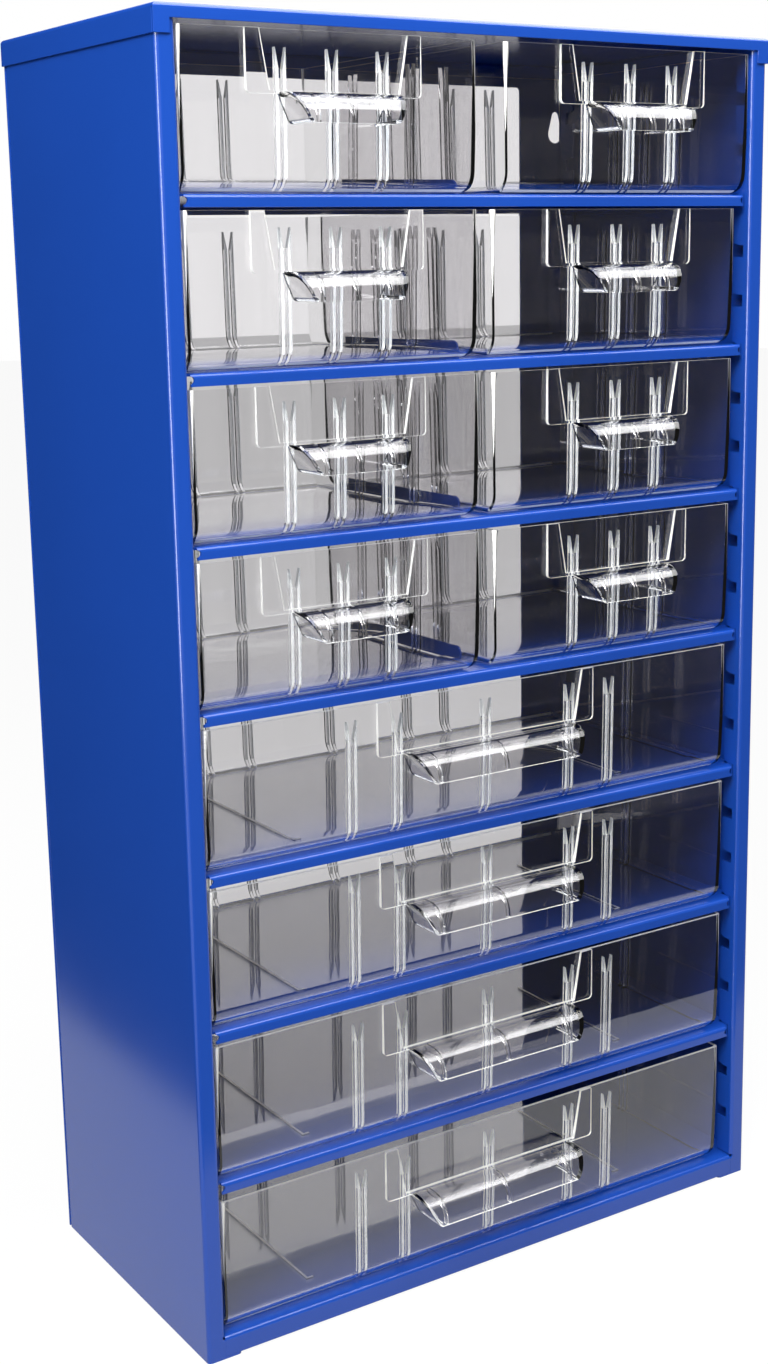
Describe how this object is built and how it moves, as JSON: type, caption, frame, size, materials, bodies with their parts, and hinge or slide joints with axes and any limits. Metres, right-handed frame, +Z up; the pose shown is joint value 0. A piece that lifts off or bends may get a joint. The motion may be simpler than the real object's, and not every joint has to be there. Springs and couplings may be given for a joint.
{
  "type": "parts bin cabinet",
  "caption": "Upright blue sheet steel cabinet with shelves that carry clear plastic drawers, small pairs above and full-width ones below.",
  "frame": {"origin": "bottom centre of the bounding box, on the surface the cabinet stands on", "axes": "+Z up, -Y the front with the drawers, +X to the right seen from the front"},
  "size_m": [0.3076, 0.1618, 0.553],
  "materials": {
    "blue_steel": "gloss powder coat",
    "clear_plastic": "clear moulded polystyrene"
  },
  "bodies": {
    "cabinet": {"left_side": "blue_steel", "right_side": "blue_steel", "back_panel": "blue_steel", "lid": "blue_steel", "base": "blue_steel", "shelf_1": "blue_steel", "shelf_2": "blue_steel", "shelf_3": "blue_steel", "shelf_4": "blue_steel", "shelf_5": "blue_steel", "shelf_6": "blue_steel", "shelf_7": "blue_steel"},
    "small_drawer_1_left_body": {"small_drawer_1_left": "clear_plastic"},
    "small_drawer_1_right_body": {"small_drawer_1_right": "clear_plastic"},
    "small_drawer_2_left_body": {"small_drawer_2_left": "clear_plastic"},
    "small_drawer_2_right_body": {"small_drawer_2_right": "clear_plastic"},
    "small_drawer_3_left_body": {"small_drawer_3_left": "clear_plastic"},
    "small_drawer_3_right_body": {"small_drawer_3_right": "clear_plastic"},
    "small_drawer_4_left_body": {"small_drawer_4_left": "clear_plastic"},
    "small_drawer_4_right_body": {"small_drawer_4_right": "clear_plastic"},
    "wide_drawer_5_body": {"wide_drawer_5": "clear_plastic"},
    "wide_drawer_6_body": {"wide_drawer_6": "clear_plastic"},
    "wide_drawer_7_body": {"wide_drawer_7": "clear_plastic"},
    "wide_drawer_8_body": {"wide_drawer_8": "clear_plastic"}
  },
  "joints": [
    {"name": "small_drawer_1_left_slide", "type": "slide", "parent": "cabinet", "child": "small_drawer_1_left_body", "axis": [0, -1, 0], "range_m": [0, 0.115]},
    {"name": "small_drawer_1_right_slide", "type": "slide", "parent": "cabinet", "child": "small_drawer_1_right_body", "axis": [0, -1, 0], "range_m": [0, 0.115]},
    {"name": "small_drawer_2_left_slide", "type": "slide", "parent": "cabinet", "child": "small_drawer_2_left_body", "axis": [0, -1, 0], "range_m": [0, 0.115]},
    {"name": "small_drawer_2_right_slide", "type": "slide", "parent": "cabinet", "child": "small_drawer_2_right_body", "axis": [0, -1, 0], "range_m": [0, 0.115]},
    {"name": "small_drawer_3_left_slide", "type": "slide", "parent": "cabinet", "child": "small_drawer_3_left_body", "axis": [0, -1, 0], "range_m": [0, 0.115]},
    {"name": "small_drawer_3_right_slide", "type": "slide", "parent": "cabinet", "child": "small_drawer_3_right_body", "axis": [0, -1, 0], "range_m": [0, 0.115]},
    {"name": "small_drawer_4_left_slide", "type": "slide", "parent": "cabinet", "child": "small_drawer_4_left_body", "axis": [0, -1, 0], "range_m": [0, 0.115]},
    {"name": "small_drawer_4_right_slide", "type": "slide", "parent": "cabinet", "child": "small_drawer_4_right_body", "axis": [0, -1, 0], "range_m": [0, 0.115]},
    {"name": "wide_drawer_5_slide", "type": "slide", "parent": "cabinet", "child": "wide_drawer_5_body", "axis": [0, -1, 0], "range_m": [0, 0.115]},
    {"name": "wide_drawer_6_slide", "type": "slide", "parent": "cabinet", "child": "wide_drawer_6_body", "axis": [0, -1, 0], "range_m": [0, 0.115]},
    {"name": "wide_drawer_7_slide", "type": "slide", "parent": "cabinet", "child": "wide_drawer_7_body", "axis": [0, -1, 0], "range_m": [0, 0.115]},
    {"name": "wide_drawer_8_slide", "type": "slide", "parent": "cabinet", "child": "wide_drawer_8_body", "axis": [0, -1, 0], "range_m": [0, 0.115]}
  ]
}
